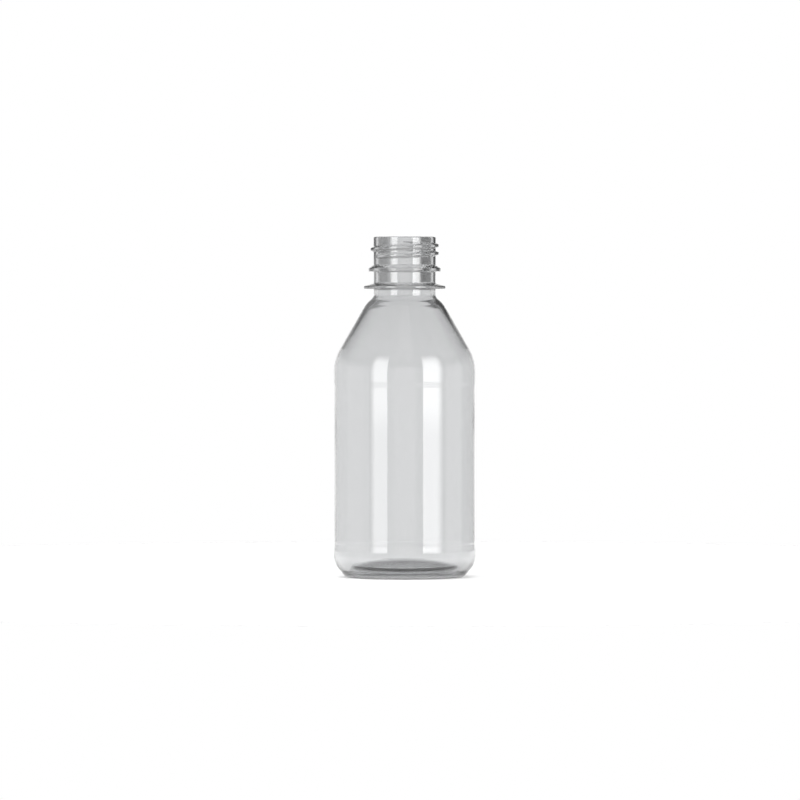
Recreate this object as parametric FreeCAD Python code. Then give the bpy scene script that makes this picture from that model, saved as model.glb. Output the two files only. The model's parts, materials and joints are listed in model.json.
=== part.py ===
"""Round clear medicine bottle, blown in one piece, with a 28 mm screw neck.

Millimetres, +Z up. The origin is on the axis, in the plane that the foot ring stands on.
The wall is one revolved section: a rounded outline outside, and the same outline offset
inwards by a wall that thins from the neck to the body. The screw thread is lofted onto it.
"""
import math
import os

import FreeCAD
import Part

# Overall
OVERALL_HEIGHT = 137.5
BODY_DIAMETER = 57.0

# Neck finish: depths are measured down from the sealing face
BORE_DIAMETER = 21.7
NECK_DIAMETER = 25.0
LIP_OUTER_BREAK = 0.4
LIP_INNER_BREAK = 0.3
RING_DIAMETER = 33.0
RING_UNDERSIDE_DEPTH = 21.0
RING_EDGE_HEIGHT = 1.1
RING_SLOPE_HEIGHT = 1.1
RING_BREAK = 0.35
BEAD_DIAMETER = 29.0
BEAD_UNDERSIDE_DEPTH = 14.0
BEAD_EDGE_HEIGHT = 1.3
BEAD_SLOPE_HEIGHT = 1.3
BEAD_BREAK = 0.3

# Screw thread
THREAD_DIAMETER = 27.4
THREAD_PITCH = 3.18
THREAD_TURNS = 1.75
THREAD_TOP_DEPTH = 2.5
THREAD_FOOT_WIDTH = 2.2
THREAD_CREST_WIDTH = 0.9
THREAD_SINK = 0.3
THREAD_FADE_ANGLE = 40.0
THREAD_START_ANGLE = 200.0
SECTIONS_PER_TURN = 24

# Shoulder: heights are measured up from the foot
NECK_ROOT_HEIGHT = 113.3
NECK_ROOT_ROUND = 2.5
SHOULDER_KNEE_DIAMETER = 31.2
SHOULDER_KNEE_HEIGHT = 110.6
SHOULDER_KNEE_ROUND = 12.0
SHOULDER_BASE_HEIGHT = 87.8
SHOULDER_BASE_ROUND = 18.0

# Label panel, set back a little between the shoulder and the heel
PANEL_TOP_HEIGHT = 78.0
PANEL_BOTTOM_HEIGHT = 12.0
PANEL_RECESS = 0.2
PANEL_STEP_HEIGHT = 2.0

# Heel, foot ring and push-up
HEEL_HEIGHT = 5.4
HEEL_ROUND = 8.0
FOOT_OUTER_DIAMETER = 47.6
FOOT_OUTER_ROUND = 1.6
FOOT_INNER_DIAMETER = 43.6
FOOT_INNER_ROUND = 0.8
PUSH_UP_HEIGHT = 5.6
PUSH_UP_DROP = 3.0
PUSH_UP_DIAMETER = 41.6
PUSH_UP_ROUND = 1.0
CROWN_ROUND = 56.0
GATE_DIAMETER = 4.0
GATE_HEIGHT = 0.5
GATE_BREAK = 0.2

# Wall, square to the surface. The inside is straight behind the label panel's set-back
BODY_WALL = 0.6
FOOT_WALL = 1.0
PUSH_UP_WALL = 1.4
KNEE_WALL = 1.6

# Bends: below the least the inside stays sharp, and up to the largest break one flat is enough.
# A larger bend that isn't smooth takes flats that stay this close to its arc
LEAST_INNER_BEND = 2.5
LARGEST_BREAK = 2.4
FLAT_DEPTH = 0.2


class Corner:
    """A corner of an outline in the plane of the axis: its radius, height, rounding and wall.

    A corner without a wall belongs to the outside only. A smooth one is bent by a true arc.
    """

    def __init__(self, radius, height, rounding=0.0, wall=0.0, smooth=False):
        self.at = FreeCAD.Vector(radius, 0, height)
        self.rounding = rounding
        self.wall = wall
        self.smooth = smooth


def cavity_side(direction):
    """The unit vector to the left of a direction of travel: the cavity's side of the wall."""
    return FreeCAD.Vector(-direction.z, 0, direction.x).normalize()


def offset_line(first, second):
    """The two ends of a wall's inner line, each moved in by the wall at its own corner."""
    inwards = cavity_side(second.at - first.at)
    return first.at + inwards * first.wall, second.at + inwards * second.wall


def crossing(line_a, line_b):
    """Where two lines in the plane of the axis cross."""
    along_a = line_a[1] - line_a[0]
    along_b = line_b[1] - line_b[0]
    between = line_b[0] - line_a[0]
    share = between.cross(along_b).y / along_a.cross(along_b).y
    return line_a[0] + along_a * share


def inner_corner(before, corner, after):
    """The inner wall's corner opposite an outer one, sharp or with a concentric rounding."""
    at = crossing(offset_line(before, corner), offset_line(corner, after))
    turns_to_cavity = (corner.at - before.at).cross(after.at - corner.at).y < 0
    rounding = corner.rounding + (-corner.wall if turns_to_cavity else corner.wall)
    return Corner(at.x, at.z, rounding if rounding > LEAST_INNER_BEND else 0)


def bend_flats(corner, turn):
    """How many flats a corner's bend takes."""
    if corner.rounding <= LARGEST_BREAK:
        return 1
    return math.ceil(turn / (2 * math.acos(1 - FLAT_DEPTH / corner.rounding)))


def bend(before, corner, after):
    """The points of a corner's bend, evenly along the arc that is tangent to both sides."""
    if corner.rounding == 0:
        return [corner.at]
    back = (before.at - corner.at).normalize()
    ahead = (after.at - corner.at).normalize()
    half_angle = back.getAngle(ahead) / 2
    run = corner.rounding / math.tan(half_angle)
    centre = corner.at + (back + ahead).normalize() * (corner.rounding / math.sin(half_angle))
    first = corner.at + back * run - centre
    last = corner.at + ahead * run - centre
    turn = first.getAngle(last)
    count = 2 if corner.smooth else bend_flats(corner, turn)
    angles = [turn * i / count for i in range(count + 1)]
    return [centre + (first * math.sin(turn - a) + last * math.sin(a)) / math.sin(turn) for a in angles]


def bent_edges(corners):
    """Straight edges from corner to corner, joined by tangent arcs or by flats."""
    edges = []
    start = corners[0].at
    for before, corner, after in zip(corners, corners[1:], corners[2:]):
        points = bend(before, corner, after)
        edges.append(Part.makeLine(start, points[0]))
        if corner.smooth:
            edges.append(Part.Arc(*points).toShape())
        else:
            edges += [Part.makeLine(*pair) for pair in zip(points, points[1:])]
        start = points[-1]
    edges.append(Part.makeLine(start, corners[-1].at))
    return edges


def body_corners():
    """The outside from the centre of the push-up to the neck, each corner with its wall."""
    body = BODY_DIAMETER / 2
    panel = body - PANEL_RECESS
    half_step = PANEL_STEP_HEIGHT / 2
    knee = SHOULDER_KNEE_DIAMETER / 2
    neck = NECK_DIAMETER / 2
    neck_wall = neck - BORE_DIAMETER / 2
    ring_underside = OVERALL_HEIGHT - RING_UNDERSIDE_DEPTH
    return [
        Corner(0, PUSH_UP_HEIGHT, 0, PUSH_UP_WALL),
        Corner(PUSH_UP_DIAMETER / 4, PUSH_UP_HEIGHT, CROWN_ROUND, PUSH_UP_WALL),
        Corner(PUSH_UP_DIAMETER / 2, PUSH_UP_HEIGHT - PUSH_UP_DROP, PUSH_UP_ROUND, PUSH_UP_WALL),
        Corner(FOOT_INNER_DIAMETER / 2, 0, FOOT_INNER_ROUND, FOOT_WALL),
        Corner(FOOT_OUTER_DIAMETER / 2, 0, FOOT_OUTER_ROUND, FOOT_WALL),
        Corner(body, HEEL_HEIGHT, HEEL_ROUND, BODY_WALL, smooth=True),
        Corner(body, PANEL_BOTTOM_HEIGHT - half_step),
        Corner(panel, PANEL_BOTTOM_HEIGHT + half_step),
        Corner(panel, PANEL_TOP_HEIGHT - half_step),
        Corner(body, PANEL_TOP_HEIGHT + half_step),
        Corner(body, SHOULDER_BASE_HEIGHT, SHOULDER_BASE_ROUND, BODY_WALL, smooth=True),
        Corner(knee, SHOULDER_KNEE_HEIGHT, SHOULDER_KNEE_ROUND, KNEE_WALL, smooth=True),
        Corner(neck, NECK_ROOT_HEIGHT, NECK_ROOT_ROUND, neck_wall),
        Corner(neck, ring_underside, 0, neck_wall),
    ]


def gate_corners():
    """The small nub that the preform's gate leaves under the push-up."""
    gate = GATE_DIAMETER / 2
    return [
        Corner(0, PUSH_UP_HEIGHT - GATE_HEIGHT),
        Corner(gate, PUSH_UP_HEIGHT - GATE_HEIGHT, GATE_BREAK),
        Corner(gate, PUSH_UP_HEIGHT),
    ]


def finish_corners():
    """The outside of the neck above the support ring's underside, up to the sealing face."""
    neck = NECK_DIAMETER / 2
    ring = RING_DIAMETER / 2
    bead = BEAD_DIAMETER / 2
    ring_underside = OVERALL_HEIGHT - RING_UNDERSIDE_DEPTH
    ring_slope = ring_underside + RING_EDGE_HEIGHT
    bead_underside = OVERALL_HEIGHT - BEAD_UNDERSIDE_DEPTH
    bead_slope = bead_underside + BEAD_EDGE_HEIGHT
    return [
        Corner(ring, ring_underside, RING_BREAK),
        Corner(ring, ring_slope, RING_BREAK),
        Corner(neck, ring_slope + RING_SLOPE_HEIGHT),
        Corner(neck, bead_underside),
        Corner(bead, bead_underside, BEAD_BREAK),
        Corner(bead, bead_slope, BEAD_BREAK),
        Corner(neck, bead_slope + BEAD_SLOPE_HEIGHT),
        Corner(neck, OVERALL_HEIGHT, LIP_OUTER_BREAK),
    ]


def bottle_wall():
    """The whole wall without its thread, turned from one closed section."""
    outside = body_corners()
    walled = [corner for corner in outside if corner.wall > 0]
    inside = [inner_corner(*three) for three in zip(walled, walled[1:], walled[2:])]
    bore_top = Corner(BORE_DIAMETER / 2, OVERALL_HEIGHT, LIP_INNER_BREAK)
    floor_centre = Corner(0, PUSH_UP_HEIGHT + PUSH_UP_WALL)
    section = gate_corners() + outside[1:] + finish_corners()
    section += [bore_top] + inside[::-1] + [floor_centre]
    edges = bent_edges(section)
    edges.append(Part.makeLine(floor_centre.at, section[0].at))
    face = Part.Face(Part.Wire(edges))
    return face.revolve(FreeCAD.Vector(0, 0, 0), FreeCAD.Vector(0, 0, 1), 360)


def fade(angle, last_angle):
    """0 at either end of the thread and 1 along its full-height stretch."""
    share = min(angle, last_angle - angle) / THREAD_FADE_ANGLE
    share = min(max(share, 0.0), 1.0)
    return share * share * (3 - 2 * share)


def thread_section(angle, last_angle):
    """One closed section across the thread ridge. At the ends it lies within the neck's wall."""
    root = NECK_DIAMETER / 2
    foot = root - THREAD_SINK
    top_height = OVERALL_HEIGHT - THREAD_TOP_DEPTH
    height = top_height - THREAD_PITCH * (last_angle - angle) / 360
    lowest_crest = root - THREAD_SINK / 2
    crest = lowest_crest + (THREAD_DIAMETER / 2 - lowest_crest) * fade(angle, last_angle)
    half_foot = THREAD_FOOT_WIDTH / 2
    half_crest = THREAD_CREST_WIDTH / 2
    foot_low = FreeCAD.Vector(foot, 0, height - half_foot)
    crest_low = FreeCAD.Vector(crest, 0, height - half_crest)
    crest_high = FreeCAD.Vector(crest, 0, height + half_crest)
    foot_high = FreeCAD.Vector(foot, 0, height + half_foot)
    wire = Part.makePolygon([foot_low, crest_low, crest_high, foot_high, foot_low])
    wire.rotate(FreeCAD.Vector(0, 0, 0), FreeCAD.Vector(0, 0, 1), THREAD_START_ANGLE + angle)
    return wire


def thread():
    """A right-hand thread that rises as it turns anticlockwise, seen from above."""
    last_angle = THREAD_TURNS * 360
    count = math.ceil(THREAD_TURNS * SECTIONS_PER_TURN)
    sections = [thread_section(last_angle * i / count, last_angle) for i in range(count + 1)]
    return Part.makeLoft(sections, True)


def bottle():
    """The wall and its thread as one solid."""
    return bottle_wall().fuse(thread()).removeSplitter()


os.makedirs("parts", exist_ok=True)
bottle().exportStep("parts/bottle.step")
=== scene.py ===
"""Looks of a clear bottle blown from PET: a fine mesh of its wall, its plastic and a white studio.

The bottle is turned from the same rounded outline as its solid, with what is too fine for the
solid: rounded edges, a smooth thread, mould lines and the slight waves of a blown inner wall.
The bottle's own lengths are in millimetres, and those of the studio and the camera in metres.
"""

import json
import math

import bpy
import numpy as np
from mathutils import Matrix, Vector


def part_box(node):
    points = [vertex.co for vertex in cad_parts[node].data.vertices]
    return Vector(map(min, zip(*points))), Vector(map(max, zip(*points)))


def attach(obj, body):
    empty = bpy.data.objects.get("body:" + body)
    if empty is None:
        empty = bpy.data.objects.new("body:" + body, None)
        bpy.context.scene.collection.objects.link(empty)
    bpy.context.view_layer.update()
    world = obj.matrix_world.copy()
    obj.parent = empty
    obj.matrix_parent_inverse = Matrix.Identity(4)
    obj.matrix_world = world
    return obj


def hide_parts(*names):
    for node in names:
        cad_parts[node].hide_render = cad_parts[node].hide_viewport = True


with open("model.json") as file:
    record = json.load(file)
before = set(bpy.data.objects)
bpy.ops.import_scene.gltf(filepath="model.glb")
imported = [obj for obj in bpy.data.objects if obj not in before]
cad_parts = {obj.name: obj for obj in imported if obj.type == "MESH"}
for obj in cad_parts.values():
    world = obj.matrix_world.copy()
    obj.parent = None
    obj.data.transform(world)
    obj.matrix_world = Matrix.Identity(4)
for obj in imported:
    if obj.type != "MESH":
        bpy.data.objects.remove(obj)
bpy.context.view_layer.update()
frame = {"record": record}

MM = 0.001

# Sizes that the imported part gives. BODY, BORE and THREAD are radii
box_low, box_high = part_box("bottle")
mounts = {mount["name"]: mount for mount in frame["record"]["mounts"]}
HEIGHT = box_high.z / MM
BODY = (box_high.x - box_low.x) / 2 / MM
BORE = mounts["mouth"]["dims"]["r_mm"]
THREAD = mounts["cap_thread"]["dims"]["r_mm"]
RING_UNDERSIDE = mounts["ring_underside"]["pos_m"][2] / MM

# Neck finish: lip, support ring and tamper bead. NECK, RING and BEAD are radii
NECK = 12.5
NECK_WALL = NECK - BORE
LIP_OUTER_ROUND = 0.45
LIP_INNER_ROUND = 0.35
RING = 16.5
RING_EDGE_HEIGHT = 1.1
RING_SLOPE_HEIGHT = 1.1
RING_ROUND = 0.35
RING_ROOT_ROUND = 0.5
BEAD = 14.5
BEAD_UNDERSIDE = HEIGHT - 14.0
BEAD_EDGE_HEIGHT = 1.3
BEAD_SLOPE_HEIGHT = 1.3
BEAD_ROUND = 0.3
BEAD_ROOT_ROUND = 0.35

# Screw thread, right-handed, rising anticlockwise seen from above
THREAD_PITCH = 3.18
THREAD_TURNS = 1.75
THREAD_TOP_DEPTH = 2.5
THREAD_START_ANGLE = 200.0
THREAD_FADE_ANGLE = 40.0
THREAD_CREST_HALF = 0.4
THREAD_FOOT_HALF = 1.15

# Shoulder and body. KNEE is the radius at the bend under the neck
NECK_ROOT_HEIGHT = 113.3
NECK_ROOT_ROUND = 2.5
KNEE = 15.6
KNEE_HEIGHT = 110.6
KNEE_ROUND = 12.0
KNEE_WALL = 1.6
SHOULDER_HEIGHT = 87.8
SHOULDER_ROUND = 18.0
PANEL_TOP = 78.0
PANEL_BOTTOM = 12.0
PANEL_RECESS = 0.2
PANEL_STEP = 2.0
PANEL_STEP_ROUND = 6.0
BODY_WALL = 0.5

# Heel, foot ring, push-up and the gate's nub in its centre. FOOT_OUTER, FOOT_INNER, PUSH_UP and
# GATE are radii
HEEL_HEIGHT = 5.4
HEEL_ROUND = 8.0
HEEL_WALL = 0.5
FOOT_OUTER = 23.8
FOOT_OUTER_ROUND = 1.6
FOOT_INNER = 21.8
FOOT_INNER_ROUND = 0.8
FOOT_WALL = 1.0
PUSH_UP = 20.8
PUSH_UP_HEIGHT = 5.6
PUSH_UP_DROP = 3.0
PUSH_UP_ROUND = 1.0
CROWN_ROUND = 56.0
PUSH_UP_WALL = 1.4
GATE = 2.0
GATE_HEIGHT = 0.5
GATE_ROUND = 0.2

# Mesh. A support row stands close to either end of a long straight run
COLUMNS = 192
ARC_STEP = math.radians(9)
LEAST_ARC_STEPS = 3
ROW_SPACING = 3.0
THREAD_ROW_SPACING = 0.12
SUPPORT_DISTANCE = 0.12
LEAST_INNER_ROUND = 0.3

# Mould lines, each with a few more columns at these distances to either side
MOULD_LINE_HEIGHT = 0.05
MOULD_LINE_HALF_WIDTH = 0.16
MOULD_LINE_COLUMNS = (0.13, 0.26, 0.5)
HEEL_LINE_HEIGHT = 4.0

# Waves of the inner wall. The number of waves round the body stays below the end of its range
WAVE_DEPTH = 0.03
WAVES = 7
WAVE_SEED = 4
WAVE_COUNT_RANGE = (1, 6)
WAVE_LENGTH_RANGE = (18, 60)
WAVE_FADE_HEIGHT = 8

# Plastic. It grows from clear to smeared over a range of the noise, and flow marks are a bump
PLASTIC_TINT = (0.83, 0.835, 0.84, 1)
PLASTIC_IOR = 1.575
PLASTIC_ABSORPTION = 50.0
BLACK = (0.0, 0.0, 0.0, 1)
CLEAR_ROUGHNESS = 0.02
SMEAR_ROUGHNESS = 0.06
SMEAR_SCALE = 60.0
SMEAR_DETAIL = 6.0
SMEAR_NOISE_RANGE = (0.45, 0.75)
FOOT_SCUFF_HEIGHT = 0.3
FOOT_SCUFF_ROUGHNESS = 0.35
FLOW_SCALE = 90.0
FLOW_DETAIL = 2.0
FLOW_STRENGTH = 0.15
FLOW_DEPTH = 0.05

# Camera: where the square photograph has the bottle, in pixels and pixels per millimetre
PHOTO_SIDE = 800
PHOTO_SCALE = 2.474
BOTTLE_MIDDLE_PIXEL = (404.7, 407.0)
CAMERA_DISTANCE = 2.2
CAMERA_ELEVATION = 0.8
CAMERA_REACH = (0.01, 100)
SENSOR_WIDTH = 36.0

# Floor, whiter near the bottle as a painted pool of light, with the distances from the bottle's axis
# between which its white changes
FLOOR_RADIUS = 0.36
FLOOR_SIDES = 96
FLOOR_ROUGHNESS = 0.9
FLOOR_PAINTED_LIGHT_WHITE = 0.9
FLOOR_EDGE_WHITE = 0.72
FLOOR_PAINTED_LIGHT_FADE = (0.03, 0.18)

# Room: pairs of the sine of a height above the horizon and the brightness there. A backdrop's edge
# fades between two angles in degrees from its middle. The brightness between backdrops changes by
# LEFT_TO_RIGHT from straight behind to the far right. The far floor fades in between two sines
ROOM_BRIGHTNESS = ((0.0, 1.0), (0.13, 1.0), (0.36, 0.33), (0.7, 0.45), (1.0, 0.8))
BACKDROPS = 4
BACKDROP_EDGES = (13, 23)
BETWEEN_BACKDROPS = 0.5
LEFT_TO_RIGHT = -0.25
FAR_FLOOR = (-0.14, -0.06)
WHITE = (1, 1, 1, 1)
LIGHT_BOUNCES = 24

# Lights from above, tilted and spread in degrees
TOP_LIGHT_TILT = (8, -6)
TOP_LIGHT_SPREAD = 60
TOP_LIGHTS = (
    dict(name="shading_light", strength=0.9, shades=True),
    dict(name="fill_light", strength=2.4, shades=False),
)

# Softboxes: bearings in degrees to the right of the camera, and brightness high and low. Their
# fades and the step to the dim part are shares of their width or height
SOFTBOX_DISTANCE = 0.35
SOFTBOX_HEIGHT = 0.40
SOFTBOX_SIDE_FADE = 0.4
SOFTBOX_TOP_FADE = 0.55
SOFTBOX_DIM_PART = (0.12, 0.17)
SOFTBOXES = (
    dict(name="left_softbox", inner=-27.5, outer=-58, strength=6.2, low_strength=4.4),
    dict(name="right_softbox", inner=29, outer=66, strength=7.5, low_strength=5.2),
)

# Dark cards behind the neck: bearings in degrees to the right of straight behind, heights,
# brightness and the share of the height that the soft foot takes. Those that aren't reflected
# are seen through the plastic instead
CARD_SIDE_FADE = 0.25
CARDS = (
    dict(name="left_card_behind", distance=0.05, bearings=(-50, -6), heights=(0.117, 0.142),
         brightness=0.35, foot_fade=0.08, reflected=False),
    dict(name="right_card_behind", distance=0.05, bearings=(6, 50), heights=(0.117, 0.142),
         brightness=0.12, foot_fade=0.08, reflected=False),
    dict(name="left_high_card", distance=0.1, bearings=(-75, -15), heights=(0.122, 0.2),
         brightness=0.05, foot_fade=0.15, reflected=True),
    dict(name="right_high_card", distance=0.1, bearings=(15, 75), heights=(0.122, 0.2),
         brightness=0.0, foot_fade=0.15, reflected=True),
)


class Corner:
    """A corner of the outline: its radius, height, rounding, wall and the spacing of the run to it."""

    def __init__(self, radius, height, rounding=0.0, wall=0.0, spacing=ROW_SPACING):
        self.at = np.array((radius, height), float)
        self.rounding = rounding
        self.wall = wall
        self.spacing = spacing


def unit(vector):
    """A vector's direction, one long."""
    return vector / np.linalg.norm(vector)


def cross(a, b):
    """The cross product of two flat vectors."""
    return a[0] * b[1] - a[1] * b[0]


def body_corners():
    """The outside from the centre of the push-up to the support ring, each corner with its wall."""
    panel = BODY - PANEL_RECESS
    half_step = PANEL_STEP / 2
    return [
        Corner(0, PUSH_UP_HEIGHT, 0, PUSH_UP_WALL),
        Corner(PUSH_UP / 2, PUSH_UP_HEIGHT, CROWN_ROUND, PUSH_UP_WALL),
        Corner(PUSH_UP, PUSH_UP_HEIGHT - PUSH_UP_DROP, PUSH_UP_ROUND, PUSH_UP_WALL),
        Corner(FOOT_INNER, 0, FOOT_INNER_ROUND, FOOT_WALL),
        Corner(FOOT_OUTER, 0, FOOT_OUTER_ROUND, FOOT_WALL),
        Corner(BODY, HEEL_HEIGHT, HEEL_ROUND, HEEL_WALL),
        Corner(BODY, PANEL_BOTTOM - half_step, PANEL_STEP_ROUND, BODY_WALL),
        Corner(panel, PANEL_BOTTOM + half_step, PANEL_STEP_ROUND, BODY_WALL),
        Corner(panel, PANEL_TOP - half_step, PANEL_STEP_ROUND, BODY_WALL),
        Corner(BODY, PANEL_TOP + half_step, PANEL_STEP_ROUND, BODY_WALL),
        Corner(BODY, SHOULDER_HEIGHT, SHOULDER_ROUND, BODY_WALL),
        Corner(KNEE, KNEE_HEIGHT, KNEE_ROUND, KNEE_WALL),
        Corner(NECK, NECK_ROOT_HEIGHT, NECK_ROOT_ROUND, NECK_WALL),
        Corner(NECK, RING_UNDERSIDE, RING_ROOT_ROUND, NECK_WALL),
    ]


def gate_corners():
    """The nub under the push-up."""
    return [
        Corner(0, PUSH_UP_HEIGHT - GATE_HEIGHT),
        Corner(GATE, PUSH_UP_HEIGHT - GATE_HEIGHT, GATE_ROUND),
        Corner(GATE, PUSH_UP_HEIGHT, GATE_ROUND),
    ]


def finish_corners():
    """The outside of the neck from the ring's edge to the lip."""
    ring_slope = RING_UNDERSIDE + RING_EDGE_HEIGHT
    bead_slope = BEAD_UNDERSIDE + BEAD_EDGE_HEIGHT
    return [
        Corner(RING, RING_UNDERSIDE, RING_ROUND),
        Corner(RING, ring_slope, RING_ROUND),
        Corner(NECK, ring_slope + RING_SLOPE_HEIGHT, RING_ROOT_ROUND),
        Corner(NECK, BEAD_UNDERSIDE, BEAD_ROOT_ROUND),
        Corner(BEAD, BEAD_UNDERSIDE, BEAD_ROUND),
        Corner(BEAD, bead_slope, BEAD_ROUND),
        Corner(NECK, bead_slope + BEAD_SLOPE_HEIGHT, BEAD_ROOT_ROUND),
        Corner(NECK, HEIGHT, LIP_OUTER_ROUND, spacing=THREAD_ROW_SPACING),
    ]


def inner_corner(before, corner, after):
    """The inner wall's corner opposite an outer one, with a concentric rounding."""
    lines = []
    for start, end in ((before, corner), (corner, after)):
        along = unit(end.at - start.at)
        inwards = np.array((-along[1], along[0]))
        lines.append((start.at + inwards * start.wall, end.at + inwards * end.wall))
    (a, b), (c, d) = lines
    at = a + (b - a) * cross(c - a, d - c) / cross(b - a, d - c)
    turns_to_cavity = cross(corner.at - before.at, after.at - corner.at) > 0
    change = -corner.wall if turns_to_cavity else corner.wall
    return Corner(at[0], at[1], max(corner.rounding + change, LEAST_INNER_ROUND))


def run_points(start, end, spacing):
    """Points after start and up to end, with one close to either end so that shading stays true."""
    length = np.linalg.norm(end - start)
    if length < 3 * SUPPORT_DISTANCE:
        return [end]
    count = max(math.ceil(length / spacing), 1)
    shares = [i / count for i in range(1, count + 1)]
    if length / count > 2 * SUPPORT_DISTANCE:
        shares = [SUPPORT_DISTANCE / length] + shares[:-1] + [1 - SUPPORT_DISTANCE / length, 1.0]
    return [start + (end - start) * share for share in shares]


def arc_points(centre, start, end, rounding):
    """Points after start and up to end on the arc about a centre."""
    first = math.atan2(*(start - centre)[::-1])
    turn = math.atan2(*(end - centre)[::-1]) - first
    turn = (turn + math.pi) % (2 * math.pi) - math.pi
    count = max(math.ceil(abs(turn) / ARC_STEP), LEAST_ARC_STEPS)
    angles = [first + turn * i / count for i in range(1, count + 1)]
    return [centre + rounding * np.array((math.cos(a), math.sin(a))) for a in angles]


def outline_rows(corners):
    """The points of an outline from its first corner to its last, roundings included."""
    points = [corners[0].at]
    for before, corner, after in zip(corners, corners[1:], corners[2:]):
        back = unit(before.at - corner.at)
        ahead = unit(after.at - corner.at)
        half_angle = math.acos(np.clip(back @ ahead, -1, 1)) / 2
        run = corner.rounding / math.tan(half_angle)
        arc_start = corner.at + back * run
        arc_end = corner.at + ahead * run
        centre = corner.at + unit(back + ahead) * corner.rounding / math.sin(half_angle)
        points += run_points(points[-1], arc_start, corner.spacing)
        points += arc_points(centre, arc_start, arc_end, corner.rounding)
    points += run_points(points[-1], corners[-1].at, corners[-1].spacing)
    return np.array(points)


def column_angles():
    """Even angles round the axis, with a few more beside the two mould lines."""
    angles = [2 * math.pi * i / COLUMNS for i in range(COLUMNS)]
    for line in (0, math.pi):
        for offset in MOULD_LINE_COLUMNS:
            angles += [line + offset / BODY, line - offset / BODY]
    return np.array(sorted(angle % (2 * math.pi) for angle in angles))


def smooth_step(share):
    """A smooth change from 0 at a share of 0 to 1 at a share of 1."""
    share = np.clip(share, 0, 1)
    return share * share * (3 - 2 * share)


def thread_height(angle, height):
    """How far the thread stands out of the neck at an angle in radians and a height."""
    last_angle = THREAD_TURNS * 360
    first = (np.degrees(angle) - THREAD_START_ANGLE) % 360
    ridge = np.zeros(np.broadcast(angle, height).shape)
    for turn in range(math.ceil(THREAD_TURNS)):
        along = first + 360 * turn
        middle = HEIGHT - THREAD_TOP_DEPTH - THREAD_PITCH * (last_angle - along) / 360
        away = np.abs(height - middle)
        flank = (away - THREAD_CREST_HALF) / (THREAD_FOOT_HALF - THREAD_CREST_HALF)
        fade = smooth_step(np.minimum(along, last_angle - along) / THREAD_FADE_ANGLE)
        ridge = np.maximum(ridge, (THREAD - NECK) * (1 - smooth_step(flank)) * fade)
    return ridge


def mould_line_height(angle, radius, height):
    """The fine ridges that the mould's two halves and its base leave on the outside."""
    sideways = np.abs(radius * np.sin(angle))
    halves = np.exp(-(sideways / MOULD_LINE_HALF_WIDTH) ** 2)
    base = np.exp(-((height - HEEL_LINE_HEIGHT) / MOULD_LINE_HALF_WIDTH) ** 2)
    base = base * (radius > FOOT_OUTER)
    return MOULD_LINE_HEIGHT * np.maximum(halves, base)


def wave_height(angle, height):
    """The uneven thickness that blowing leaves in the body, as a few long waves."""
    random = np.random.default_rng(WAVE_SEED)
    total = np.zeros(np.broadcast(angle, height).shape)
    for _ in range(WAVES):
        round_count = random.integers(*WAVE_COUNT_RANGE)
        length = random.uniform(*WAVE_LENGTH_RANGE)
        phase, tilt = random.uniform(0, 2 * math.pi, 2)
        along = np.sin(2 * math.pi * height / length + tilt)
        total = total + np.sin(round_count * angle + phase) * along
    total = total / math.sqrt(WAVES)
    above_panel_bottom = smooth_step((height - PANEL_BOTTOM) / WAVE_FADE_HEIGHT)
    below_knee = smooth_step((KNEE_HEIGHT - height) / WAVE_FADE_HEIGHT)
    within = above_panel_bottom * below_knee
    return WAVE_DEPTH * total * within


def wall_rows():
    """The wall's outline from the gate's centre to that of the inner floor, and its row at the lip."""
    outside = body_corners()
    inside = [inner_corner(*three) for three in zip(outside, outside[1:], outside[2:])]
    bore_top = Corner(BORE, HEIGHT, LIP_INNER_ROUND)
    floor_centre = Corner(0, PUSH_UP_HEIGHT + PUSH_UP_WALL)
    corners = gate_corners() + outside[1:] + finish_corners()
    rows = outline_rows(corners + [bore_top] + inside[::-1] + [floor_centre])
    lip_middle = np.array(((NECK + BORE) / 2, HEIGHT))
    lip_row = int(np.argmin(np.linalg.norm(rows - lip_middle, axis=1)))
    return rows, lip_row


def wall_mesh():
    """Points and faces of the whole closed wall, columns round the axis and rows along its outline.

    The mould lines run from the foot ring to the middle of the shoulder, and from the bead up.
    """
    rows, lip_row = wall_rows()
    angle = column_angles()[None, :]
    radius = rows[1:-1, :1]
    height = rows[1:-1, 1:]
    outer = (np.arange(1, len(rows) - 1) <= lip_row)[:, None]
    in_thread = outer & (height > BEAD_UNDERSIDE + BEAD_EDGE_HEIGHT + BEAD_SLOPE_HEIGHT)
    in_thread = in_thread & (height < HEIGHT - LIP_OUTER_ROUND)
    on_mould_line = outer & ((radius > FOOT_INNER) | (height > BEAD_UNDERSIDE))
    grown = radius + thread_height(angle, height) * in_thread
    grown = grown + mould_line_height(angle, radius, height) * on_mould_line
    grown = grown + wave_height(angle, height) * ~outer
    x = grown * np.cos(angle)
    y = grown * np.sin(angle)
    z = np.broadcast_to(height, grown.shape)
    points = np.stack((x, y, z), axis=-1).reshape(-1, 3)
    points = np.vstack(((0, 0, rows[0, 1]), points, (0, 0, rows[-1, 1])))
    return points * MM, wall_faces(len(rows) - 2, angle.size)


def wall_faces(rows, columns):
    """Quads between the rows, and a fan of triangles at either pole."""
    faces = []
    last = rows * columns + 1
    for column in range(columns):
        beside = (column + 1) % columns
        faces.append((0, 1 + beside, 1 + column))
        for row in range(rows - 1):
            this = 1 + row * columns
            above = this + columns
            faces.append((this + column, this + beside, above + beside, above + column))
        top = 1 + (rows - 1) * columns
        faces.append((last, top + column, top + beside))
    return faces


def make_bottle():
    """The bottle's one piece, in place of its solid."""
    points, faces = wall_mesh()
    mesh = bpy.data.meshes.new("clear_bottle")
    mesh.from_pydata(points.tolist(), [], faces)
    mesh.validate()
    mesh.shade_smooth()
    bottle = bpy.data.objects.new("clear_bottle", mesh)
    bpy.context.scene.collection.objects.link(bottle)
    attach(bottle, "root")
    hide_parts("bottle")
    return bottle


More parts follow.
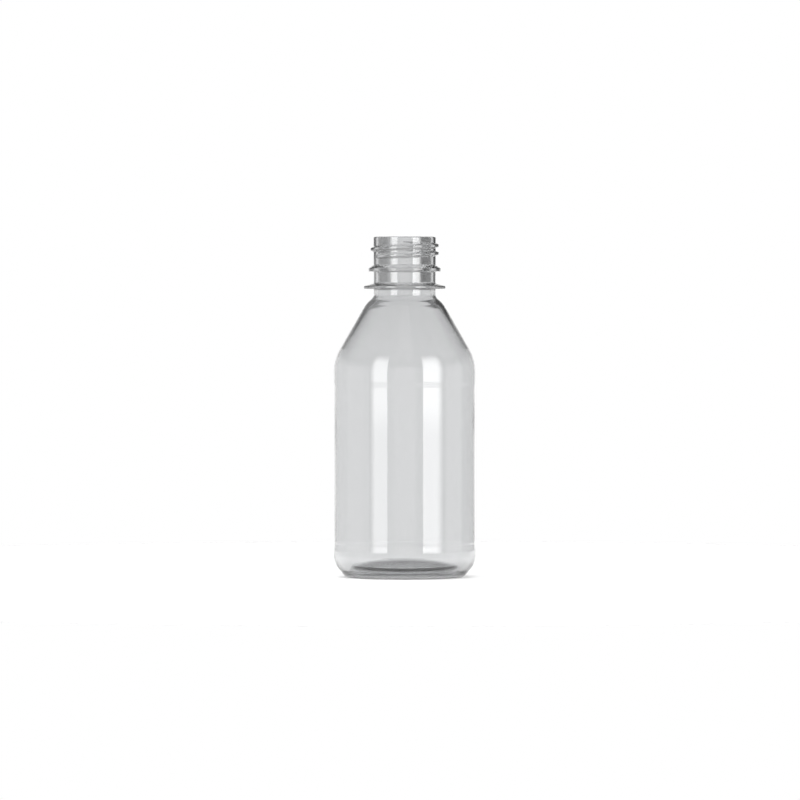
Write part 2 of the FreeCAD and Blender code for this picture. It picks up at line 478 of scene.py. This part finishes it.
def feed(tree, socket, value):
    """Links a socket to another node's output, or sets it to a value."""
    if isinstance(value, bpy.types.NodeSocket):
        tree.links.new(value, socket)
    else:
        socket.default_value = value


def node(tree, kind, **inputs):
    """A new node with its named sockets fed."""
    made = tree.nodes.new(kind)
    for name, value in inputs.items():
        feed(tree, made.inputs[name.replace("_", " ")], value)
    return made


def ease(tree, value, from_min, from_max, to_min, to_max):
    """A smooth change from one value to another over a stretch of the input."""
    made = node(tree, "ShaderNodeMapRange", Value=value, From_Min=from_min, From_Max=from_max,
                To_Min=to_min, To_Max=to_max)
    made.interpolation_type = "SMOOTHSTEP"
    return made.outputs["Result"]


def arithmetic(tree, operation, first, second):
    """The result of an operation on two values."""
    made = tree.nodes.new("ShaderNodeMath")
    made.operation = operation
    feed(tree, made.inputs[0], first)
    feed(tree, made.inputs[1], second)
    return made.outputs[0]


def blend(tree, share, first, second):
    """The first shader at a share of 0, the second at a share of 1."""
    made = node(tree, "ShaderNodeMixShader", Fac=share)
    feed(tree, made.inputs[1], first)
    feed(tree, made.inputs[2], second)
    return made.outputs["Shader"]


def bare_material(name):
    """A material without nodes."""
    material = bpy.data.materials.new(name)
    material.use_nodes = True
    material.node_tree.nodes.clear()
    return material


def clear_pet():
    """Glossy clear plastic, faintly grey where it is thick, hazy in smears and scuffed at the foot."""
    material = bpy.data.materials.new("clear_pet")
    material.use_nodes = True
    tree = material.node_tree
    surface = tree.nodes["Principled BSDF"]
    surface.inputs["Base Color"].default_value = PLASTIC_TINT
    surface.inputs["Transmission Weight"].default_value = 1.0
    surface.inputs["IOR"].default_value = PLASTIC_IOR
    place = tree.nodes.new("ShaderNodeTexCoord").outputs["Object"]
    split = node(tree, "ShaderNodeSeparateXYZ", Vector=place)
    flow = node(tree, "ShaderNodeTexNoise", Vector=place, Scale=FLOW_SCALE, Detail=FLOW_DETAIL)
    bump = node(tree, "ShaderNodeBump", Strength=FLOW_STRENGTH, Distance=FLOW_DEPTH * MM,
                Height=flow.outputs["Fac"])
    tree.links.new(bump.outputs["Normal"], surface.inputs["Normal"])
    smear = node(tree, "ShaderNodeTexNoise", Vector=place, Scale=SMEAR_SCALE, Detail=SMEAR_DETAIL)
    haze = ease(tree, smear.outputs["Fac"], *SMEAR_NOISE_RANGE, CLEAR_ROUGHNESS, SMEAR_ROUGHNESS)
    foot = ease(tree, split.outputs["Z"], 0.0, FOOT_SCUFF_HEIGHT * MM, FOOT_SCUFF_ROUGHNESS, 0.0)
    roughness = arithmetic(tree, "MAXIMUM", haze, foot)
    tree.links.new(roughness, surface.inputs["Roughness"])
    depth = node(tree, "ShaderNodeVolumeAbsorption", Color=BLACK, Density=PLASTIC_ABSORPTION)
    tree.links.new(depth.outputs["Volume"], tree.nodes["Material Output"].inputs["Volume"])
    return material


def make_floor():
    """A round white floor with a painted pool of light: whiter near the bottle, a little greyer
    towards its edge, where it meets the backdrop.
    """
    bpy.ops.mesh.primitive_circle_add(vertices=FLOOR_SIDES, radius=FLOOR_RADIUS, fill_type="NGON")
    floor = bpy.context.object
    floor.name = "floor"
    material = bpy.data.materials.new("white_floor_with_painted_light")
    material.use_nodes = True
    tree = material.node_tree
    surface = tree.nodes["Principled BSDF"]
    place = tree.nodes.new("ShaderNodeTexCoord").outputs["Object"]
    distance = node(tree, "ShaderNodeVectorMath", Vector=place)
    distance.operation = "LENGTH"
    # Painted light: the floor is whiter near the bottle, which lightens the heel seen through the
    # plastic and fades the bottle's shadow.
    white = ease(tree, distance.outputs["Value"], *FLOOR_PAINTED_LIGHT_FADE, FLOOR_PAINTED_LIGHT_WHITE, FLOOR_EDGE_WHITE)
    tree.links.new(white, surface.inputs["Base Color"])
    surface.inputs["Roughness"].default_value = FLOOR_ROUGHNESS
    surface.inputs["Specular IOR Level"].default_value = 0.0
    floor.data.materials.append(material)


def room_brightness(tree, rise):
    """The room's brightness by the sine of the height above the horizon."""
    ramp = node(tree, "ShaderNodeValToRGB", Fac=rise)
    ramp.color_ramp.interpolation = "EASE"
    steps = ramp.color_ramp.elements
    while len(steps) < len(ROOM_BRIGHTNESS):
        steps.new(1.0)
    for step, (position, brightness) in zip(steps, ROOM_BRIGHTNESS):
        step.position = position
        step.color = (brightness, brightness, brightness, 1)
    return ramp.outputs["Color"]


def reflected_share(tree, x, y, z):
    """How much of the room's brightness is reflected in a direction.

    All of it is where one of the backdrops stands or the far floor lies, and less elsewhere. The
    backdrops stand ahead, behind and at both sides, so that each of those views has one behind the
    bottle.
    """
    along = arithmetic(tree, "ARCTAN2", x, y)
    from_backdrop = arithmetic(tree, "PINGPONG", along, math.pi / BACKDROPS)
    edges = [math.radians(edge) for edge in BACKDROP_EDGES]
    lean = arithmetic(tree, "MULTIPLY", x, LEFT_TO_RIGHT)
    darkest = arithmetic(tree, "ADD", lean, BETWEEN_BACKDROPS)
    walls = ease(tree, from_backdrop, *edges, 1.0, darkest)
    far_floor = ease(tree, z, *FAR_FLOOR, 1.0, 0.0)
    return arithmetic(tree, "MAXIMUM", walls, far_floor)


def make_world():
    """White wherever the camera looks. The plastic shows a white horizon under a dimmer room."""
    world = bpy.data.worlds.new("studio")
    bpy.context.scene.world = world
    world.use_nodes = True
    tree = world.node_tree
    tree.nodes.clear()
    place = tree.nodes.new("ShaderNodeTexCoord").outputs["Generated"]
    x, y, z = node(tree, "ShaderNodeSeparateXYZ", Vector=place).outputs
    path = tree.nodes.new("ShaderNodeLightPath")
    level = node(tree, "ShaderNodeMapRange", Value=path.outputs["Is Reflection Ray"],
                 To_Min=1.0, To_Max=reflected_share(tree, x, y, z))
    room = node(tree, "ShaderNodeBackground", Color=room_brightness(tree, z),
                Strength=level.outputs["Result"])
    white = node(tree, "ShaderNodeBackground", Color=WHITE)
    seen = blend(tree, path.outputs["Is Camera Ray"], room.outputs["Background"],
                 white.outputs["Background"])
    node(tree, "ShaderNodeOutputWorld", Surface=seen)


def upright_plane(name, width, heights, middle, turn):
    """An upright plane between two heights, over a middle point and turned about the vertical."""
    bpy.ops.mesh.primitive_plane_add(size=1)
    plane = bpy.context.object
    plane.name = name
    foot, top = heights
    plane.dimensions = (width, top - foot, 0)
    plane.location = (*middle, (foot + top) / 2)
    plane.rotation_euler = (math.pi / 2, 0, turn)
    return plane


def plane_shares(tree):
    """How far across and how far up a plane is, as shares of its width and its height."""
    place = tree.nodes.new("ShaderNodeTexCoord").outputs["Generated"]
    across, up, _ = node(tree, "ShaderNodeSeparateXYZ", Vector=place).outputs
    return across, up


def make_softbox(name, inner, outer, strength, low_strength):
    """A tall panel beside the camera, from an inner to an outer bearing, seen only as a reflection.

    Its light fades towards its outer edge and its top, and is weaker low down.
    """
    bearing = math.radians((inner + outer) / 2)
    width = 2 * SOFTBOX_DISTANCE * math.tan(math.radians(abs(outer - inner) / 2))
    middle = (math.sin(bearing) * SOFTBOX_DISTANCE, -math.cos(bearing) * SOFTBOX_DISTANCE)
    panel = upright_plane(name, width, (0, SOFTBOX_HEIGHT), middle, bearing)
    material = bare_material(name)
    tree = material.node_tree
    across, up = plane_shares(tree)
    outer_edge, inwards = (1.0, -1.0) if outer > inner else (0.0, 1.0)
    side = ease(tree, across, outer_edge, outer_edge + inwards * SOFTBOX_SIDE_FADE, 0.0, 1.0)
    top = ease(tree, up, 1.0 - SOFTBOX_TOP_FADE, 1.0, 1.0, 0.0)
    level = ease(tree, up, *SOFTBOX_DIM_PART, low_strength, strength)
    light = arithmetic(tree, "MULTIPLY", level, arithmetic(tree, "MULTIPLY", side, top))
    glow = node(tree, "ShaderNodeEmission", Strength=light)
    node(tree, "ShaderNodeOutputMaterial", Surface=glow.outputs["Emission"])
    panel.data.materials.append(material)
    panel.visible_camera = False
    panel.visible_diffuse = False
    panel.visible_transmission = False
    panel.visible_shadow = False


def make_dark_card(name, distance, bearings, heights, brightness, foot_fade, reflected):
    """A dark card with soft sides and a soft foot that darkens the edges of the neck or shoulder."""
    first, last = (math.radians(bearing) for bearing in bearings)
    bearing = (first + last) / 2
    width = 2 * distance * math.tan((last - first) / 2)
    middle = (math.sin(bearing) * distance, math.cos(bearing) * distance)
    card = upright_plane(name, width, heights, middle, -bearing)
    material = bare_material(name)
    tree = material.node_tree
    across, up = plane_shares(tree)
    left_side = ease(tree, across, 0.0, CARD_SIDE_FADE, 0.0, 1.0)
    right_side = ease(tree, across, 1.0 - CARD_SIDE_FADE, 1.0, 1.0, 0.0)
    foot = ease(tree, up, 0.0, foot_fade, 0.0, 1.0)
    solid = arithmetic(tree, "MULTIPLY", foot, arithmetic(tree, "MULTIPLY", left_side, right_side))
    clear = tree.nodes.new("ShaderNodeBsdfTransparent")
    glow = node(tree, "ShaderNodeEmission", Strength=brightness)
    face = blend(tree, solid, clear.outputs["BSDF"], glow.outputs["Emission"])
    node(tree, "ShaderNodeOutputMaterial", Surface=face)
    card.data.materials.append(material)
    card.visible_camera = False
    card.visible_diffuse = False
    card.visible_glossy = reflected
    card.visible_transmission = not reflected
    card.visible_shadow = False


def make_top_light(name, strength, shades):
    """A broad even light from above that whitens the floor."""
    data = bpy.data.lights.new(name, "SUN")
    data.energy = strength
    data.angle = math.radians(TOP_LIGHT_SPREAD)
    data.use_shadow = shades
    light = bpy.data.objects.new(name, data)
    light.rotation_euler = (math.radians(TOP_LIGHT_TILT[0]), math.radians(TOP_LIGHT_TILT[1]), 0)
    light.visible_glossy = False
    light.visible_transmission = False
    bpy.context.scene.collection.objects.link(light)


def make_camera():
    """A long lens at the photograph's angle, with the bottle where the photograph has it."""
    data = bpy.data.cameras.new("camera")
    camera = bpy.data.objects.new("camera", data)
    bpy.context.scene.collection.objects.link(camera)
    data.sensor_width = SENSOR_WIDTH
    picture_width = PHOTO_SIDE / PHOTO_SCALE * MM
    data.lens = SENSOR_WIDTH * CAMERA_DISTANCE / picture_width
    right = (BOTTLE_MIDDLE_PIXEL[0] - PHOTO_SIDE / 2) / PHOTO_SCALE * MM
    down = (BOTTLE_MIDDLE_PIXEL[1] - PHOTO_SIDE / 2) / PHOTO_SCALE * MM
    target = Vector((-right, 0, HEIGHT * MM / 2 + down))
    elevation = math.radians(CAMERA_ELEVATION)
    back = Vector((0, -math.cos(elevation), math.sin(elevation)))
    camera.location = target + back * CAMERA_DISTANCE
    camera.rotation_euler = (-back).to_track_quat("-Z", "Y").to_euler()
    data.clip_start, data.clip_end = CAMERA_REACH
    bpy.context.scene.camera = camera


def set_up_picture():
    """Plain colours, and enough bounces for light to pass the thread and both walls."""
    scene = bpy.context.scene
    scene.view_settings.view_transform = "Standard"
    scene.view_settings.look = "None"
    scene.cycles.max_bounces = LIGHT_BOUNCES
    scene.cycles.transmission_bounces = LIGHT_BOUNCES
    scene.cycles.glossy_bounces = LIGHT_BOUNCES // 2


bottle = make_bottle()
bottle.data.materials.append(clear_pet())
make_floor()
make_world()
for softbox in SOFTBOXES:
    make_softbox(**softbox)
for card in CARDS:
    make_dark_card(**card)
for top_light in TOP_LIGHTS:
    make_top_light(**top_light)
make_camera()
set_up_picture()
